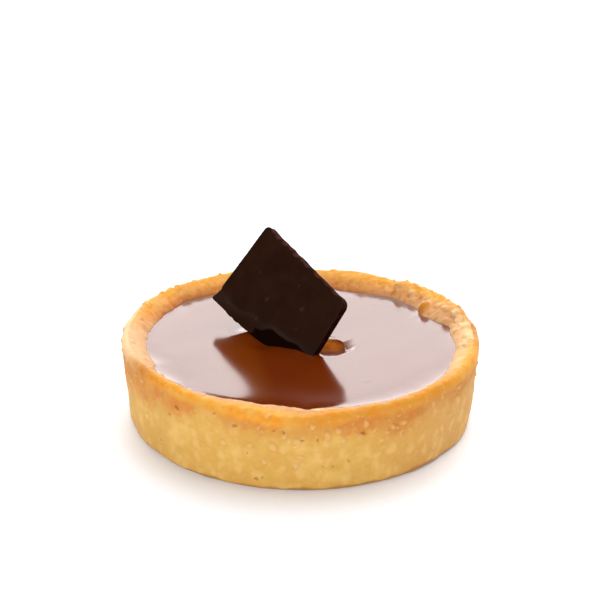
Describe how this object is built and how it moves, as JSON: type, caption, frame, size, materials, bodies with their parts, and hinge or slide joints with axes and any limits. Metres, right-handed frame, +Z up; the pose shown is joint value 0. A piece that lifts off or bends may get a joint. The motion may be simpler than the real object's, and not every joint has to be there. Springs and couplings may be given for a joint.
{
  "type": "chocolate tart",
  "caption": "Small round tart: a deep shortcrust case filled with glossy chocolate caramel, with a thin dark chocolate slab standing tilted in it.",
  "frame": {"origin": "on the surface the tart stands on, under the middle of its case", "axes": "+Z up; -Y towards the front, which the slab's face is turned to; +X to the right seen from the front"},
  "size_m": [0.0797, 0.0799, 0.0393],
  "materials": {
    "pastry": "baked shortcrust: matt, golden, finely crumbly, browned at the rim",
    "caramel": "smooth glossy set caramel",
    "dark_chocolate": "satin dark chocolate with rough broken edges"
  },
  "bodies": {
    "root": {"crust": "pastry", "filling": "caramel", "chocolate_slab": "dark_chocolate"}
  },
  "joints": []
}
